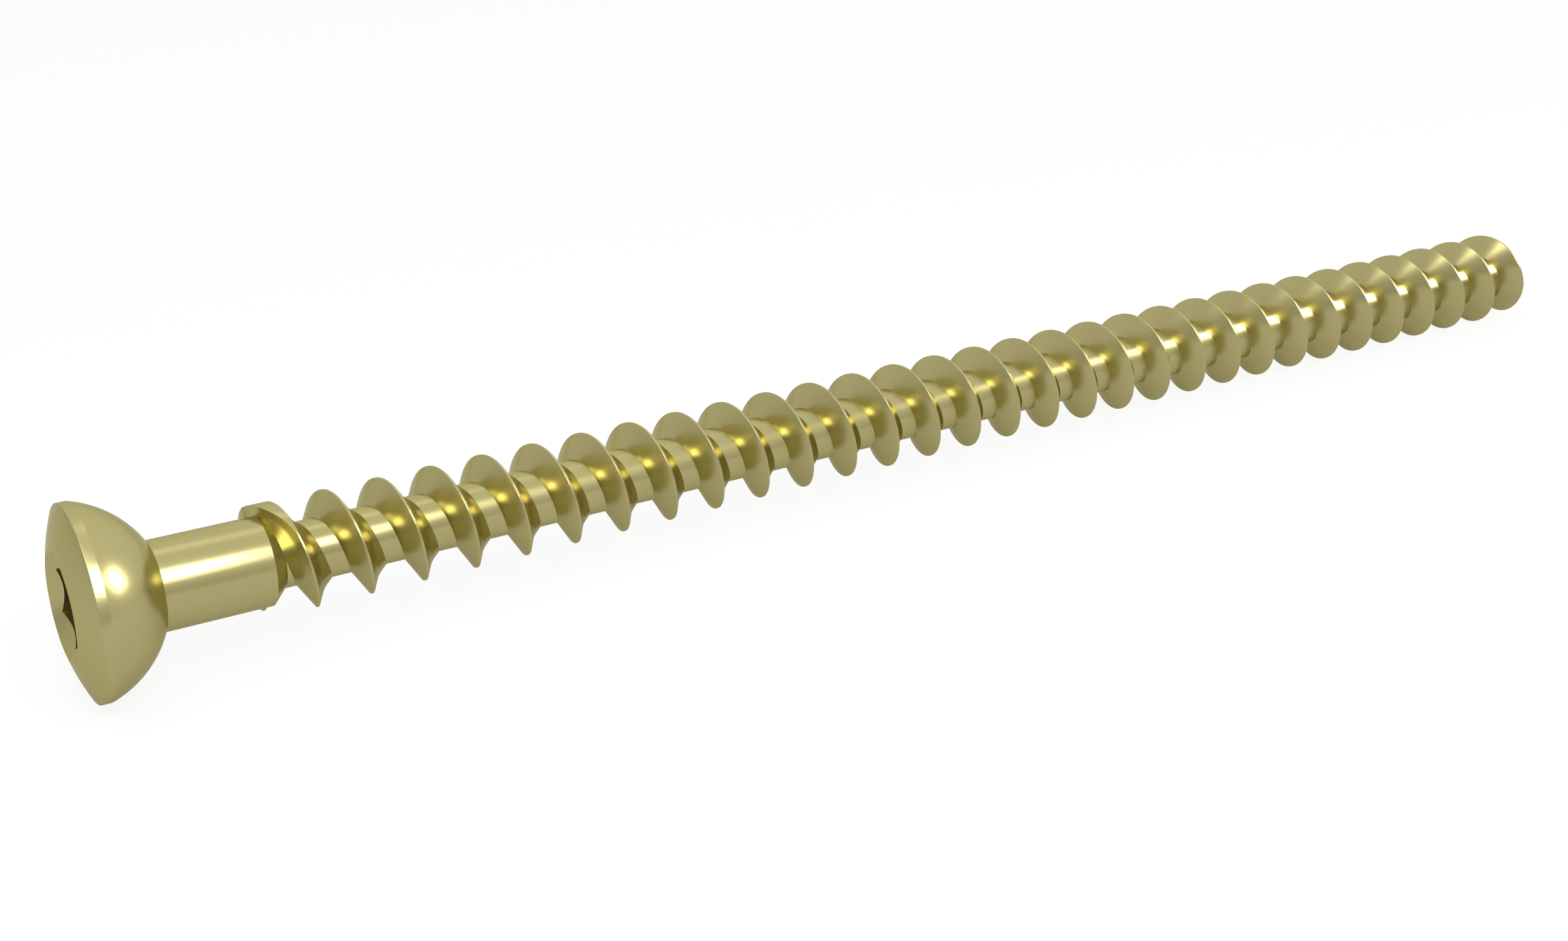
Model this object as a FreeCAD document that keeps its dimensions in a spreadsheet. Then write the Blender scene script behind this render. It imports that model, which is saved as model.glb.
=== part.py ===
# A 3.5 mm cancellous bone screw, 60 mm long, with a hex socket in its round head.
# It is one solid. It is drawn along its own axis: z runs from the head's face (z = 0) to the
# tip, and x points to the place where a crest of the thread crosses the reference plane.
# At the end it is laid down along X as it rests on a table: on the rim of its head and on the
# last full crest of its thread.

import FreeCAD, Part
import math
import os

doc = FreeCAD.newDocument("CancellousScrew")
V = FreeCAD.Vector

# Driving dimensions, in millimetres, degrees and turns

sheet = doc.addObject("Spreadsheet::Sheet", "Sizes")

SIZES = [
    ("overall_length", 60.0, "from the socket's outer rim to the flat end of the tip"),
    ("head_diameter", 6.04, "over the narrow band round the head"),
    ("head_edge_drop", 0.46, "the band starts this far behind the socket's outer rim"),
    ("head_band_width", 0.305, "straight band between the domed face and the seat"),
    ("dome_radius", 7.21, "radius of the domed drive face"),
    ("seat_over_head", 0.134, "the round underside's radius is larger than the head's by this"),
    ("socket_across_flats", 2.42, "hex socket"),
    ("socket_depth", 1.9, "from the socket's outer rim to its floor"),
    ("socket_turn", 15.8, "angle of one corner of the hex from the reference plane"),
    ("countersink_diameter", 3.4, "outer rim of the cone round the socket"),
    ("countersink_angle", 105.8, "full angle of that cone"),
    ("shank_diameter", 2.8, "smooth neck under the head"),
    ("shank_end", 5.985, "where the neck ends in a cone, from the face"),
    ("shank_cone_length", 0.42, "the cone runs from the neck down to the core"),
    ("thread_diameter", 3.5, "over the crests"),
    ("core_diameter", 1.92, "between the threads"),
    ("pitch", 1.75, "one turn, single start, right-handed"),
    ("crest_start", 8.23, "where the first free crest crosses the reference plane"),
    ("crest_width", 0.062, "flat land on top of the crest"),
    ("flank_angle", 30.0, "each flank's lean from the square plane"),
    ("root_radius_at", 1.2, "the flank towards the tip bends outwards below this radius"),
    ("root_width", 0.661, "from the middle of the crest to the foot of that flank"),
    ("thread_start", 5.79, "flat shoulder where the thread begins, from the face"),
    ("land_extra", 0.5, "the first half turn's land is wider by this towards the head"),
    ("land_turns", 0.17, "part of a turn over which the wide land narrows"),
    ("land_end", 0.82, "turns before the first free crest where it has narrowed"),
    ("chords_per_turn", 24, "straight chords that follow the helix in each turn"),
    ("tip_chamfer", 0.485, "45 degree chamfer over the thread at the tip"),
    ("lying_turn", 18.19, "angle from the reference plane to the side that lies upwards"),
]

for row, (alias, value, note) in enumerate(SIZES, start=1):
    sheet.set("A%d" % row, alias.replace("_", " "))
    sheet.set("B%d" % row, str(value))
    sheet.set("C%d" % row, note)
    sheet.setAlias("B%d" % row, alias)
doc.recompute()


def size(alias):
    """The value of one driving dimension, read from the sheet."""
    return float(sheet.get(alias))


def primitive(kind, name, **bound):
    """Adds one of Part's primitives with its properties bound to the sheet."""
    obj = doc.addObject(kind, name)
    for prop, expression in bound.items():
        obj.setExpression(prop.replace("__", "."), expression)
    return obj


# Head: what a cylinder, the dome's sphere and the seat's sphere have in common

band = primitive(
    "Part::Cylinder", "HeadBand",
    Radius="Sizes.head_diameter / 2",
    Height="Sizes.head_edge_drop + Sizes.head_diameter / 2 + Sizes.seat_over_head + 2",
    Placement__Base__z="-2",
)
dome = primitive(
    "Part::Sphere", "FaceDome",
    Radius="Sizes.dome_radius",
    Placement__Base__z="Sizes.head_edge_drop"
                       " + sqrt(Sizes.dome_radius ^ 2 - (Sizes.head_diameter / 2) ^ 2)",
)
seat = primitive(
    "Part::Sphere", "HeadSeat",
    Radius="Sizes.head_diameter / 2 + Sizes.seat_over_head",
    Placement__Base__z="Sizes.head_edge_drop + Sizes.head_band_width"
                       " - sqrt(Sizes.seat_over_head * (Sizes.head_diameter + Sizes.seat_over_head))",
)
head = doc.addObject("Part::MultiCommon", "Head")
head.Shapes = [band, dome, seat]

# Neck and the cone at its end, which runs down to the thread's core

neck = primitive(
    "Part::Cylinder", "Neck",
    Radius="Sizes.shank_diameter / 2",
    Height="Sizes.shank_end - Sizes.head_edge_drop - Sizes.head_band_width",
    Placement__Base__z="Sizes.head_edge_drop + Sizes.head_band_width",
)
neck_cone = primitive(
    "Part::Cone", "NeckCone",
    Radius1="Sizes.shank_diameter / 2",
    Radius2="Sizes.core_diameter / 2",
    Height="Sizes.shank_cone_length",
    Placement__Base__z="Sizes.shank_end",
)

# Drive: the countersink's cone and the hex socket, both taken out of the head

countersink = primitive(
    "Part::Cone", "Countersink",
    Radius1="Sizes.countersink_diameter / 2 + 1 * tan(Sizes.countersink_angle / 2 * 1 deg)",
    Radius2="Sizes.countersink_diameter / 8",
    Height="1 + Sizes.countersink_diameter * 3 / 8 / tan(Sizes.countersink_angle / 2 * 1 deg)",
    Placement__Base__z="-1",
)
hex_socket = primitive(
    "Part::Prism", "HexSocket",
    Circumradius="Sizes.socket_across_flats / 2 / cos(30 deg)",
    Height="Sizes.socket_depth + 1",
)
hex_socket.Polygon = 6
hex_socket.Placement = FreeCAD.Placement(
    V(0, 0, -1), FreeCAD.Rotation(V(0, 0, 1), size("socket_turn")))

# Threaded rod: the core and the one ridge wound round it

crest_radius = size("thread_diameter") / 2
core_radius = size("core_diameter") / 2
pitch = size("pitch")
half_crest = size("crest_width") / 2
flank_slope = math.tan(math.radians(size("flank_angle")))
bend_radius = core_radius + (crest_radius - core_radius) * (
    (size("root_radius_at") - 0.96) / (1.75 - 0.96))
root_width = size("root_width")
shoulder = size("thread_start")
crest_zero = size("crest_start")
length = size("overall_length")
chamfer = size("tip_chamfer")

bend_offset = half_crest + (crest_radius - bend_radius) * flank_slope


def smooth(u):
    """A soft step from 0 to 1 as u goes from 0 to 1."""
    u = min(1.0, max(0.0, u))
    return u * u * (3.0 - 2.0 * u)


def land_left(turn):
    """How far the land's head-side edge lies before the middle of the crest.

    It is half the crest along the thread. In the first half turn the land reaches further
    back, and runs out into the flat shoulder.
    """
    back = -turn - size("land_end")
    wide = size("land_extra") * smooth(back / size("land_turns"))
    into_shoulder = 0.2 * size("land_extra") * smooth((back - 0.2) / 0.05)
    return half_crest + wide + into_shoulder


def wall_slope(turn):
    """Lean of the head-side flank: the flank angle, upright where the land is wide."""
    back = -turn - size("land_end")
    return flank_slope * (1.0 - smooth(back / (size("land_turns") - 0.02)))


def corner(name, turn):
    """A corner of the ridge's section at an angle of so many turns: (radius, height)."""
    middle = crest_zero + pitch * turn
    if name == "tip foot":
        return core_radius, middle + root_width
    if name == "tip bend":
        return bend_radius, middle + bend_offset
    if name == "crest right":
        return crest_radius, middle + half_crest
    if name == "crest left":
        return crest_radius, middle - land_left(turn)
    drop = (crest_radius - core_radius) * wall_slope(turn)
    return core_radius, middle - land_left(turn) - drop


def around(radius, turn, height):
    angle = 2.0 * math.pi * turn
    return V(radius * math.cos(angle), radius * math.sin(angle), height)


def corner_point(name, turn):
    radius, height = corner(name, turn)
    return around(radius, turn, height)


def flat_face(points):
    return Part.Face(Part.makePolygon(points + points[:1]))


CORNERS = ["tip foot", "tip bend", "crest right", "crest left", "head foot"]

# the ridge follows its helix in straight chords, from inside the neck to beyond the tip,
# and the middle of a chord is at the side that lies on the table
chords = int(size("chords_per_turn"))
down_turn = (size("lying_turn") + 180.0) / 360.0
chord_start = down_turn + 0.5 / chords
first = math.floor(((shoulder - crest_zero) / pitch - 0.36 - chord_start) * chords)
last = math.ceil(((length - crest_zero) / pitch + 0.55 - chord_start) * chords)
rod_start = shoulder - 1.5 * pitch
rod_end = length + 2.5 * pitch

# the section's corners at every step of the helix
section = []
for step in range(first, last + 1):
    turn = chord_start + step / chords
    section.append({name: corner_point(name, turn)
                    for name in CORNERS})
steps = last - first
start_ring = [around(core_radius, chord_start + (first + i) / chords, rod_start)
              for i in range(chords)]
end_ring = [around(core_radius, chord_start + (last + i) / chords, rod_end)
            for i in range(chords)]

faces = [flat_face(start_ring), flat_face(end_ring)]
faces += [flat_face([section[i][name] for name in CORNERS]) for i in (0, steps)]

for i in range(steps):
    here, there = section[i], section[i + 1]
    # the crest is a flat parallelogram, each strip of the flanks is two triangles
    faces.append(flat_face([here["crest right"], there["crest right"],
                            there["crest left"], here["crest left"]]))
    for a, b in [CORNERS[0:2], CORNERS[1:3], CORNERS[3:5]]:
        faces.append(flat_face([here[a], there[a], there[b]]))
        faces.append(flat_face([here[a], there[b], here[b]]))

# the core is flat strips along the axis, from one turn of the ridge to the next
for i in range(-chords, steps):
    low = [start_ring[i % chords], start_ring[(i + 1) % chords]]
    if i >= 0:
        low = [section[i]["tip foot"], section[i + 1]["tip foot"]]
    high = [end_ring[(i - steps) % chords], end_ring[(i + 1 - steps) % chords]]
    if i + chords < steps:
        high = [section[i + chords]["head foot"], section[i + chords + 1]["head foot"]]
    right, left = [], []
    if i == -1:
        right = [section[0]["head foot"], section[0]["tip foot"]]
    if i == steps - chords:
        left = [section[steps]["tip foot"], section[steps]["head foot"]]
    faces.append(flat_face(low + right + high[::-1] + left))

rod_shell = Part.Shell(Part.makeCompound(faces).Faces)
rod_shell.sewShape()
rod_solid = Part.Solid(rod_shell)
if rod_solid.Volume < 0:
    rod_solid.reverse()

# the shoulder trims the rod's start, the chamfer and the flat end trim its tip
wide_block = 4.0 * crest_radius
before = Part.makeBox(
    2 * wide_block, 2 * wide_block, 4.0 * pitch,
    V(-wide_block, -wide_block, shoulder - 4.0 * pitch))
over = 0.2
beyond_outline = [
    V(crest_radius + over, 0, length - chamfer - over),
    V(crest_radius - chamfer, 0, length),
    V(0, 0, length),
    V(0, 0, length + 3.0 * pitch),
    V(crest_radius + over, 0, length + 3.0 * pitch),
]
beyond_face = Part.Face(Part.makePolygon(beyond_outline + beyond_outline[:1]))
beyond = beyond_face.revolve(V(0, 0, 0), V(0, 0, 1), 360)
trimmed_rod = rod_solid.cut([before, beyond])

rod = doc.addObject("Part::Feature", "ThreadedRod")
rod.Shape = trimmed_rod

# The whole screw

body = doc.addObject("Part::MultiFuse", "Blank")
body.Shapes = [head, neck, neck_cone]
body.Refine = True
drive = doc.addObject("Part::MultiFuse", "Drive")
drive.Shapes = [countersink, hex_socket]
blank = doc.addObject("Part::Cut", "BlankWithSocket")
blank.Base = body
blank.Tool = drive
screw = doc.addObject("Part::Fuse", "screw")
screw.Base = blank
screw.Tool = rod
screw.Label = "screw"

# Lying pose: rim of the head and lowest full crest near the tip both touch the table

head_radius = size("head_diameter") / 2
rim_at = size("head_edge_drop") + size("head_band_width")
chord_radius = crest_radius * math.cos(math.pi / chords)
last_full = length - chamfer - half_crest
whole_turns = math.floor((last_full - crest_zero) / pitch - down_turn)
crest_at = crest_zero + pitch * (whole_turns + down_turn)
lean = math.atan2(head_radius - chord_radius, crest_at - rim_at)
axis_height = rim_at * math.sin(lean) + head_radius * math.cos(lean)
half_span = length * math.cos(lean) / 2

roll = FreeCAD.Rotation(V(0, 0, 1), 180.0 - size("lying_turn"))
lay = FreeCAD.Rotation(V(0, 1, 0), 90.0 + math.degrees(lean))
screw.Placement = FreeCAD.Placement(V(-half_span, 0, axis_height), lay.multiply(roll))

doc.recompute()

for obj in doc.Objects:
    if "Invalid" in obj.State or "Error" in obj.State:
        raise RuntimeError("%s did not build" % obj.Name)
    shape = getattr(obj, "Shape", None)
    if shape is not None and (shape.isNull() or not shape.isValid()):
        raise RuntimeError("%s has no valid shape" % obj.Name)
if len(screw.Shape.Solids) != 1:
    raise RuntimeError("the screw is not one solid")

os.makedirs("parts", exist_ok=True)
screw.Shape.exportStep("parts/screw.step")
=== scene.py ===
import math

import bmesh
import bpy
import numpy as np
from mathutils import Euler, Matrix, Vector


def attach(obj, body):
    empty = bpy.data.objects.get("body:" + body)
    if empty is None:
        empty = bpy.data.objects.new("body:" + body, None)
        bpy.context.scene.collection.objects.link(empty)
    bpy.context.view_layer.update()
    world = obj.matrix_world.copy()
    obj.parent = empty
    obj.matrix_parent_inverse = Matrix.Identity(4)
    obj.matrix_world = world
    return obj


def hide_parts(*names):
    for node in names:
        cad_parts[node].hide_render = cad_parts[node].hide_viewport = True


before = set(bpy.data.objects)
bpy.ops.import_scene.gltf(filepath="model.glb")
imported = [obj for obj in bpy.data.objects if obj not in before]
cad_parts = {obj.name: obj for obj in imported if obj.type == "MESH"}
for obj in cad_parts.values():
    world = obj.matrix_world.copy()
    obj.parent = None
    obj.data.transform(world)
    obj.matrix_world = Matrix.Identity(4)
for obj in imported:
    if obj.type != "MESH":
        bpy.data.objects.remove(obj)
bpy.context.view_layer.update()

# The screw's blank: a domed head with a narrow straight band and a round seat, and a smooth
# neck that ends in a cone. The real one is turned from one bar of titanium alloy, with small
# roundings where the tool passed an edge. Millimetres, along the axis from the socket's rim.

HEAD_R, BAND_START, BAND_END = 3.02, 0.46, 0.765
DOME_R, SEAT_R = 7.21, 3.154
NECK_R, NECK_END = 1.4, 5.985
CORE_R, CONE_END = 0.96, 6.425
RIM_ROUNDING, NECK_ROUNDING = 0.015, 0.03
DOME_POINTS, SEAT_POINTS, AROUND = 20, 28, 120
INTO_CORE = 0.06


def arc_of_sphere(centre, radius, r_from, r_to, side, count):
    """Points (z, r) on a sphere centred on the axis: z = centre + side * sqrt(radius^2 - r^2)."""
    angle = np.linspace(math.asin(r_from / radius), math.asin(r_to / radius), count)
    return np.stack([centre + side * radius * np.cos(angle), radius * np.sin(angle)], 1)


def rounded(profile, corners):
    """The profile with some corners replaced by arcs.

    corners maps a point's number to the arc's radius. Each arc is the quadratic curve
    (1 - t)^2 first + 2 t (1 - t) corner + t^2 last, which touches both sides at the distance
    radius * tan(half the turn) from the corner.
    """
    parts = []
    for number, corner in enumerate(profile):
        if number not in corners:
            parts.append(corner[None])
            continue
        before = profile[number - 1] - corner
        before = before / np.linalg.norm(before)
        after = profile[number + 1] - corner
        after = after / np.linalg.norm(after)
        half_turn = (math.pi - math.acos(np.clip(before @ after, -1, 1))) / 2
        reach = corners[number] * math.tan(half_turn)
        first, last = corner + before * reach, corner + after * reach
        t = np.linspace(0, 1, 5)[:, None]
        parts.append((1 - t) ** 2 * first + 2 * t * (1 - t) * corner + t**2 * last)
    return np.concatenate(parts)


def mesh_from_grid(name, points):
    """A closed skin from a grid of points (rows, columns, 3).

    Each cell is one face. The first and last columns meet, the first and last rows are
    points on the axis, and doubles are merged.
    """
    rows, columns = points.shape[:2]
    index = np.arange(rows * columns).reshape(rows, columns)
    cells = np.stack([index[:-1, :-1], index[:-1, 1:], index[1:, 1:], index[1:, :-1]], -1)
    mesh = bpy.data.meshes.new(name)
    mesh.from_pydata(points.reshape(-1, 3).tolist(), [], cells.reshape(-1, 4).tolist())
    obj = bpy.data.objects.new(name, mesh)
    bpy.context.scene.collection.objects.link(obj)
    work = bmesh.new()
    work.from_mesh(mesh)
    bmesh.ops.remove_doubles(work, verts=work.verts, dist=1e-5)
    work.to_mesh(mesh)
    work.free()
    return obj


def turned(name, profile, columns=AROUND, start=0.0):
    """A turned solid: each profile point (z, r) goes round the axis, x = r cos a, y = r sin a."""
    angle = np.linspace(0, 2 * math.pi, columns + 1) + start
    z, r = profile[:, 0, None], profile[:, 1, None]
    points = np.stack([r * np.cos(angle), r * np.sin(angle), z + 0 * angle], -1)
    return mesh_from_grid(name, points)


dome_centre = BAND_START + math.sqrt(DOME_R**2 - HEAD_R**2)
seat_centre = BAND_END - math.sqrt(SEAT_R**2 - HEAD_R**2)
head_profile = np.concatenate([
    arc_of_sphere(dome_centre, DOME_R, 0.0, HEAD_R, -1, DOME_POINTS),
    arc_of_sphere(seat_centre, SEAT_R, HEAD_R, NECK_R, 1, SEAT_POINTS),
    np.array([[NECK_END, NECK_R], [CONE_END + INTO_CORE, CORE_R - INTO_CORE],
              [CONE_END + INTO_CORE, 0.0]]),
])
rim_corner, neck_corner = DOME_POINTS - 1, DOME_POINTS + SEAT_POINTS
head_profile = rounded(head_profile, {rim_corner: RIM_ROUNDING, neck_corner: NECK_ROUNDING})
screw = turned("screw_in_finished_metal", head_profile)

# The hex socket and the cone round its mouth. The hexagon is pressed into the head and the
# cone is turned over it, so the six corners reach up the cone in points. Both shapes start
# above the face and are cut out of the head.

FLATS_R, SOCKET_DEPTH, SOCKET_POINT = 1.21, 1.9, 0.35
SOCKET_TURN = math.radians(15.8)
CONE_R, CONE_INNER_R, CONE_HALF = 1.7, 0.4, math.radians(52.9)
CONE_ABOVE, HEXAGON_ABOVE = 1.0, 1.2


def combined(base, tool, operation):
    """base joined with, cut by or kept within tool, as a plain mesh."""
    step = base.modifiers.new(operation.lower(), "BOOLEAN")
    step.operation, step.object, step.solver = operation, tool, "MANIFOLD"
    made = bpy.data.meshes.new_from_object(
        base.evaluated_get(bpy.context.evaluated_depsgraph_get()))
    base.modifiers.clear()
    base.data = made
    bpy.data.objects.remove(tool)
    return base


cone_depth = (CONE_R - CONE_INNER_R) / math.tan(CONE_HALF)
cone_outer_r = CONE_R + CONE_ABOVE * math.tan(CONE_HALF)
cone = turned("cone", np.array([[-CONE_ABOVE, 0.0], [-CONE_ABOVE, cone_outer_r],
                                [cone_depth, CONE_INNER_R], [cone_depth, 0.0]]))
hex_corner_r = FLATS_R / math.cos(math.pi / 6)
hex_profile = np.array([[-HEXAGON_ABOVE, 0.0], [-HEXAGON_ABOVE, hex_corner_r],
                        [SOCKET_DEPTH, hex_corner_r], [SOCKET_DEPTH + SOCKET_POINT, 0.0]])
hexagon = turned("hexagon", hex_profile, 6, SOCKET_TURN)
screw = combined(screw, cone, "DIFFERENCE")
screw = combined(screw, hexagon, "DIFFERENCE")

# The thread: one deep right-hand ridge with a thin flat crest. The flank towards the head is
# straight, the one towards the tip bends out into the core. It starts in a wide land at the
# flat shoulder beside the neck, and the bar's chamfer trims it at the tip.

CREST_R, CREST_HALF, CREST_ROUNDING = 1.75, 0.031, 0.012
PITCH, FIRST_CREST = 1.75, 8.23
FIRST_TURN, LAST_TURN = -3, 32
FLANK = math.tan(math.radians(30))
BEND, HOLLOW, ROOT_END = np.array([[0.2735, 1.33], [0.355, 1.19], [0.661, CORE_R]])
LAND_END, LAND_EXTRA, LAND_TURNS, UPRIGHT_TURNS = 0.82, 0.5, 0.17, 0.15
STEP_AFTER, STEP_EXTRA, STEP_TURNS = 0.2, 0.1, 0.05
THREAD_START, CHAMFER_START, LENGTH, BAR_OVER = 5.79, 59.515, 60.0, 0.75


def soft_step(share):
    """0 below 0 and 1 above 1, with 3 share^2 - 2 share^3 between."""
    share = np.clip(share, 0, 1)
    return share * share * (3 - 2 * share)


def thread_section():
    """The ridge's outline (w, r): w runs towards the tip from the middle of the crest.

    The head-side flank is straight. The tip-side flank is straight down to BEND and then the
    quadratic curve (1 - t)^2 BEND + 2 t (1 - t) HOLLOW + t^2 ROOT_END.
    """
    foot = CREST_HALF + (CREST_R - CORE_R) * FLANK
    corners = np.array([[-foot, CORE_R], [-CREST_HALF, CREST_R], [CREST_HALF, CREST_R], BEND])
    edge = rounded(corners, {1: CREST_ROUNDING, 2: CREST_ROUNDING})
    t = np.linspace(0, 1, 9)[1:, None]
    root = (1 - t) ** 2 * BEND + 2 * t * (1 - t) * HOLLOW + t**2 * ROOT_END
    return np.concatenate([edge, root])


def threaded_rod(name, first, last):
    """The endless thread from one turn number to another, with flat ends on the bare core.

    The section is carried along the helix z = first crest + pitch * turn. Its head-side half
    moves back where the land is wide, and that flank stands upright there: a point at radius
    r moves by -extra + (crest radius - r) * upright, and upright grows to the flank's slope.
    """
    section = thread_section()
    angle = np.linspace(0, 2 * math.pi, AROUND + 1)
    whole = np.arange(first, last)
    turn = whole[:, None, None] + angle[None, None, :] / (2 * math.pi)
    w, r = section[None, :, 0, None], section[None, :, 1, None] + 0 * turn
    back = -turn - LAND_END
    extra = (LAND_EXTRA * soft_step(back / LAND_TURNS)
             + STEP_EXTRA * soft_step((back - STEP_AFTER) / STEP_TURNS))
    upright = soft_step(back / UPRIGHT_TURNS) * FLANK
    w = np.where(w < 0, w - extra + (CREST_R - r) * upright, w)
    z = FIRST_CREST + PITCH * turn + w
    low, high = FIRST_CREST + PITCH * (first + 1), FIRST_CREST + PITCH * (last - 1)
    rows = len(whole) * len(section)
    r = np.where((z < low) | (z > high), CORE_R, r).reshape(rows, -1)
    z = np.clip(z, low, high).reshape(rows, -1)
    z = np.concatenate([z[:1], z, z[-1:]])
    r = np.concatenate([0 * r[:1], r, 0 * r[-1:]])
    return mesh_from_grid(name, np.stack([r * np.cos(angle), r * np.sin(angle), z], -1))


rod = threaded_rod("rod", FIRST_TURN, LAST_TURN)
bar_r, bar_end_r = CREST_R + BAR_OVER, CREST_R - (LENGTH - CHAMFER_START)
bar = turned("bar", np.array([[THREAD_START, 0.0], [THREAD_START, bar_r],
                              [CHAMFER_START - BAR_OVER, bar_r], [LENGTH, bar_end_r],
                              [LENGTH, 0.0]]))
rod = combined(rod, bar, "INTERSECT")
screw = combined(screw, rod, "UNION")

# It lies as it comes to rest on a table, on the rim of its head and on its last full crest.
# The seat's edge at the head's band is drawn sharp, as are all edges that turn by more than
# SHARP, and large faces keep their own shading.

LEAN, LYING_TURN = math.radians(1.28179), math.radians(18.19)
RIM_PLACE = (-0.0299925, 0, 0.0030364)
METRES_PER_MILLIMETRE = 0.001
SHARP, NEAR, FACE_WEIGHT = math.radians(26), 0.001, 60

lying = (Matrix.Translation(RIM_PLACE)
         @ Matrix.Rotation(math.pi / 2 + LEAN, 4, "Y")
         @ Matrix.Rotation(math.pi - LYING_TURN, 4, "Z") @ Matrix.Scale(METRES_PER_MILLIMETRE, 4))
screw.data.shade_smooth()
screw.data.set_sharp_from_angle(angle=SHARP)
corner = np.zeros((len(screw.data.vertices), 3))
screw.data.vertices.foreach_get("co", corner.reshape(-1))
on_edge = abs(np.hypot(*corner.T[:2]) - HEAD_R) < NEAR
on_edge &= abs(corner[:, 2] - BAND_END) < NEAR
ends = np.zeros(2 * len(screw.data.edges), int)
screw.data.edges.foreach_get("vertices", ends)
sharp = np.zeros(len(screw.data.edges), bool)
screw.data.attributes["sharp_edge"].data.foreach_get("value", sharp)
sharp |= on_edge[ends].reshape(-1, 2).all(1)
screw.data.attributes["sharp_edge"].data.foreach_set("value", sharp)
screw.data.transform(lying)
even = screw.modifiers.new("large_faces_keep_their_shading", "WEIGHTED_NORMAL")
even.keep_sharp, even.weight = True, FACE_WEIGHT

# The metal: titanium alloy, tumbled and then anodised to a pale gold. The film's colour drifts
# a little, and the surface keeps a fine grain.

DEEPER_GOLD, PALER_GOLD = (0.476, 0.428, 0.188, 1.0), (0.511, 0.46, 0.21, 1.0)
GOLD_AT_GRAZING = (0.82, 0.79, 0.6, 1.0)


def plug(links, socket, value):
    """Fills a node's socket with a value, or links another shader output to it."""
    if isinstance(value, Socket):
        links.new(value.out, socket)
    else:
        socket.default_value = value


class Socket:
    """A shader output that adds Math nodes when it is used in an expression."""

    def __init__(self, nodes, links, out):
        self.nodes, self.links, self.out = nodes, links, out

    def maths(self, operation, first, second):
        """One Math node's output for two outputs or numbers."""
        node = self.nodes.new("ShaderNodeMath")
        node.operation = operation
        for socket, value in zip(node.inputs, (first, second)):
            plug(self.links, socket, value)
        return Socket(self.nodes, self.links, node.outputs[0])

    def __add__(self, other):
        return self.maths("ADD", self, other)

    def __mul__(self, other):
        return self.maths("MULTIPLY", self, other)

    def __rsub__(self, other):
        return self.maths("SUBTRACT", other, self)

    __radd__, __rmul__ = __add__, __mul__


class Finish:
    """One material, or the studio round the table, and the nodes that it is made of."""

    def __init__(self, name, kept_in=bpy.data.materials):
        self.material = kept_in.new(name)
        self.material.use_nodes = True
        self.nodes, self.links = self.material.node_tree.nodes, self.material.node_tree.links
        self.nodes.clear()

    def node(self, kind, settings=None, output=0, **sockets):
        """Adds a node, sets it up, fills its sockets with values or links, gives an output.

        A socket is named by its own name, with _ for a space, or by its number, as in i0.
        """
        made = self.nodes.new(kind)
        for key, value in (settings or {}).items():
            setattr(made, key, value)
        for key, value in sockets.items():
            socket = made.inputs[int(key[1:]) if key[1:].isdigit() else key.replace("_", " ")]
            plug(self.links, socket, value)
        return Socket(self.nodes, self.links, made.outputs[output]) if made.outputs else None


gold = Finish("pale_gold_anodised_titanium")
place = gold.node("ShaderNodeTexCoord", output=3)
drift = gold.node("ShaderNodeTexNoise", Vector=place, Scale=180.0, Detail=2.0)
grain = gold.node("ShaderNodeTexNoise", Vector=place, Scale=9000.0, Detail=3.0)
tone = gold.node("ShaderNodeMix", {"data_type": "RGBA"}, 2, i0=drift, i6=DEEPER_GOLD, i7=PALER_GOLD)
rough = 0.2 + 0.05 * drift + 0.03 * grain
bump = gold.node("ShaderNodeBump", Height=grain, Strength=0.05, Distance=0.00001)
metal = gold.node("ShaderNodeBsdfPrincipled", Base_Color=tone, Roughness=rough, Metallic=1.0,
                  Specular_Tint=GOLD_AT_GRAZING, Normal=bump)
gold.node("ShaderNodeOutputMaterial", Surface=metal)

screw.data.materials.clear()
screw.data.materials.append(gold.material)
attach(screw, "root")
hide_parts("screw")

# The table and the light: a plain white table top in a bright studio, with soft boxes that
# stand near the screw. The table also glows for the camera, and less for what mirrors it, so
# that it stays white. The camera sees the studio itself as white.

TABLE_REACH, PAPER_GREY, PURE_WHITE = 6.0, (0.45, 0.45, 0.45, 1.0), (1.0, 1.0, 1.0, 1.0)
GLOW, GLOW_FOR_CAMERA, GLOW_IN_MIRRORS, STUDIO_FOR_CAMERA = 1.1, 0.8, 0.25, 0.98

table_corners = np.array([[-1, -1, 0], [1, -1, 0], [1, 1, 0], [-1, 1, 0]]) * TABLE_REACH
floor_mesh = bpy.data.meshes.new("table_top")
floor_mesh.from_pydata(table_corners.tolist(), [], [(0, 1, 2, 3)])
floor = bpy.data.objects.new("table_top", floor_mesh)
bpy.context.scene.collection.objects.link(floor)
white = Finish("white_table_top")
paper = white.node("ShaderNodeBsdfDiffuse", Color=PAPER_GREY)
seen = white.node("ShaderNodeLightPath", output=0)
mirrored = white.node("ShaderNodeLightPath", output=3)
glow = white.node("ShaderNodeEmission", Color=PURE_WHITE, Strength=GLOW)
bright = GLOW_FOR_CAMERA * seen + GLOW_IN_MIRRORS * mirrored
lit = white.node("ShaderNodeMixShader", i0=bright, i1=paper, i2=glow)
white.node("ShaderNodeOutputMaterial", Surface=lit)
floor_mesh.materials.append(white.material)

# The studio is brighter above, behind the screw and on the tip's side.

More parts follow.
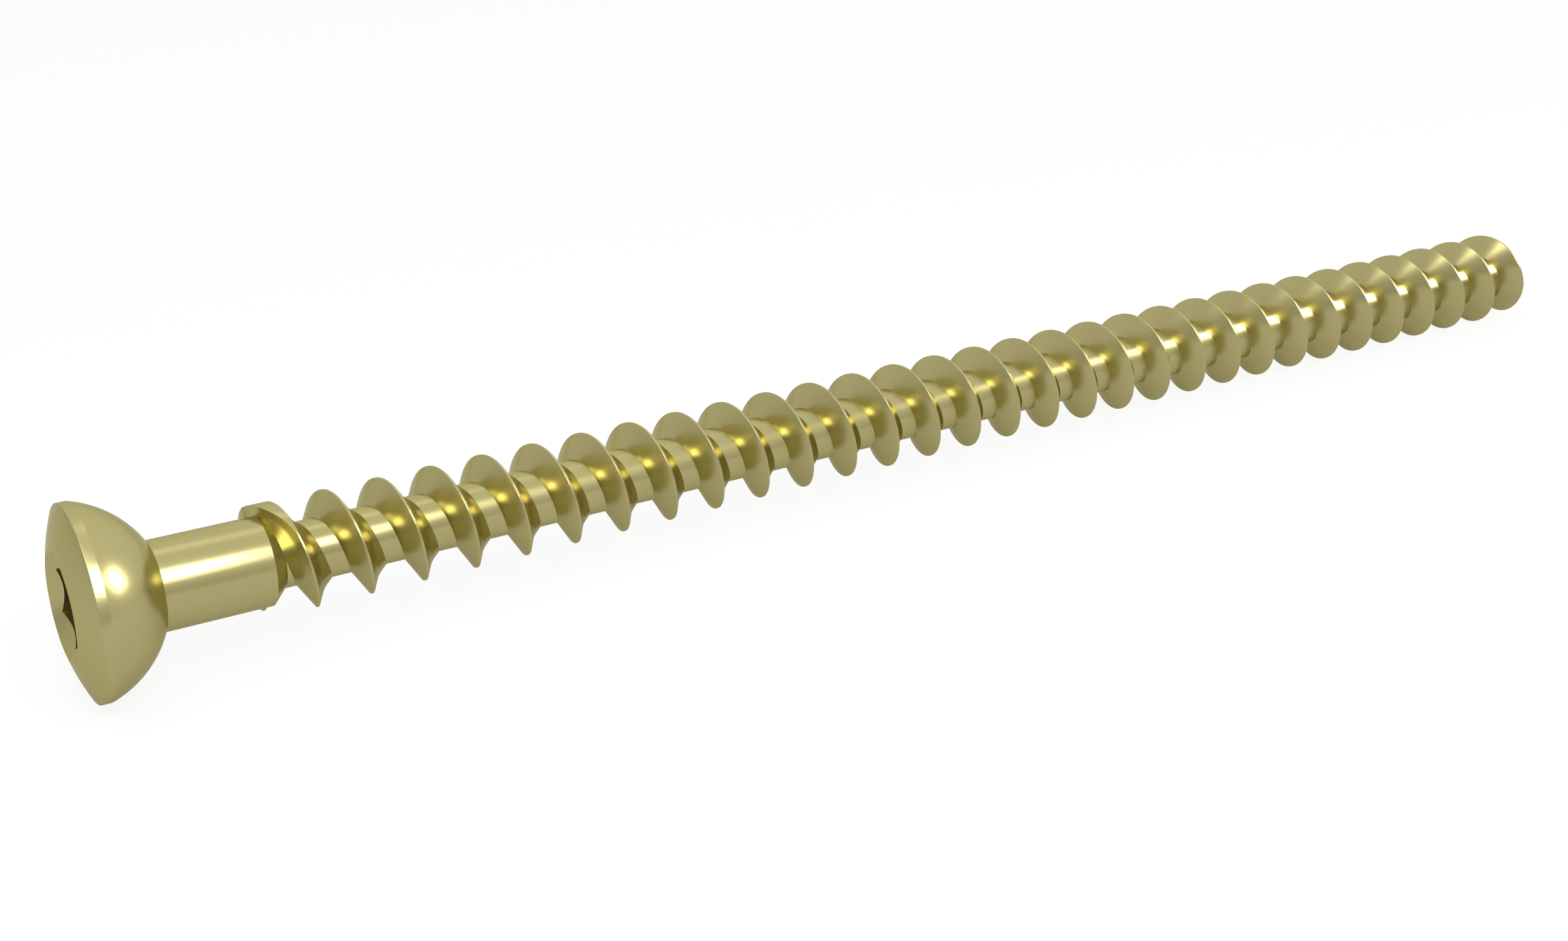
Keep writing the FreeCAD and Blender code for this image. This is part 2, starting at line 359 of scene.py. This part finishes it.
studio = Finish("studio", bpy.data.worlds)
bpy.context.scene.world = studio.material
toward = studio.node("ShaderNodeTexCoord")
sideways, backwards, upwards = (
    studio.node("ShaderNodeSeparateXYZ", output=axis, Vector=toward) for axis in range(3))
walls = 0.67 + 0.2 * upwards + 0.12 * backwards + 0.16 * sideways
looked_at = studio.node("ShaderNodeLightPath", output=0)
strength = walls * (1.0 - looked_at) + STUDIO_FOR_CAMERA * looked_at
light = studio.node("ShaderNodeBackground", Color=PURE_WHITE, Strength=strength)
studio.node("ShaderNodeOutputWorld", Surface=light)


def lamp(name, azimuth, elevation, distance, width, height, radiance, shadows=True):
    """A soft box that faces the screw from a compass angle and a height, both in degrees.

    Its distance and its size are in metres. Its power is radiance * pi * area, so radiance 1
    is as bright as pure white. Without shadows it also lights the core right up to the flank
    of the next crest.
    """
    data = bpy.data.lights.new(name, "AREA")
    data.use_shadow = data.cycles.use_multiple_importance_sampling = shadows
    data.shape, data.size, data.size_y = "RECTANGLE", width, height
    data.energy = radiance * math.pi * width * height
    obj = bpy.data.objects.new(name, data)
    around, up = math.radians(azimuth), math.radians(elevation)
    away = Vector((math.cos(around) * math.cos(up), math.sin(around) * math.cos(up), math.sin(up)))
    obj.location = away * distance
    obj.rotation_euler = (-away).to_track_quat("-Z", "Y").to_euler()
    obj.visible_camera = False
    bpy.context.scene.collection.objects.link(obj)


lamp("left_box", -96.5, 47.5, 0.149, 0.066, 0.068, 8.4)
lamp("right_box", -25.8, 30.1, 0.138, 0.047, 0.048, 7.3, shadows=False)
lamp("back_box", 60.0, 62.0, 3.0, 1.0, 0.8, 0.4)
lamp("end_box", -161.2, 55.4, 0.092, 0.046, 0.046, 3.0)

# The camera looks down on the screw from beside its head. Its place, its lens and its shift
# were worked out from the outline of the thread.

CAMERA_PLACE, CAMERA_TURN = (-0.0396354, -0.0570103, 0.0333459), (65.3111, 0.0107, -31.5085)

view = bpy.data.cameras.new("camera")
view.sensor_width, view.lens = 36.0, 48.676
view.shift_x, view.shift_y = -0.013866, -0.025245
view.clip_start, view.clip_end = 0.001, 10.0
camera = bpy.data.objects.new("camera", view)
camera.location = CAMERA_PLACE
camera.rotation_euler = Euler([math.radians(angle) for angle in CAMERA_TURN])
bpy.context.scene.collection.objects.link(camera)
bpy.context.scene.camera = camera
bpy.context.scene.view_settings.view_transform = "Standard"
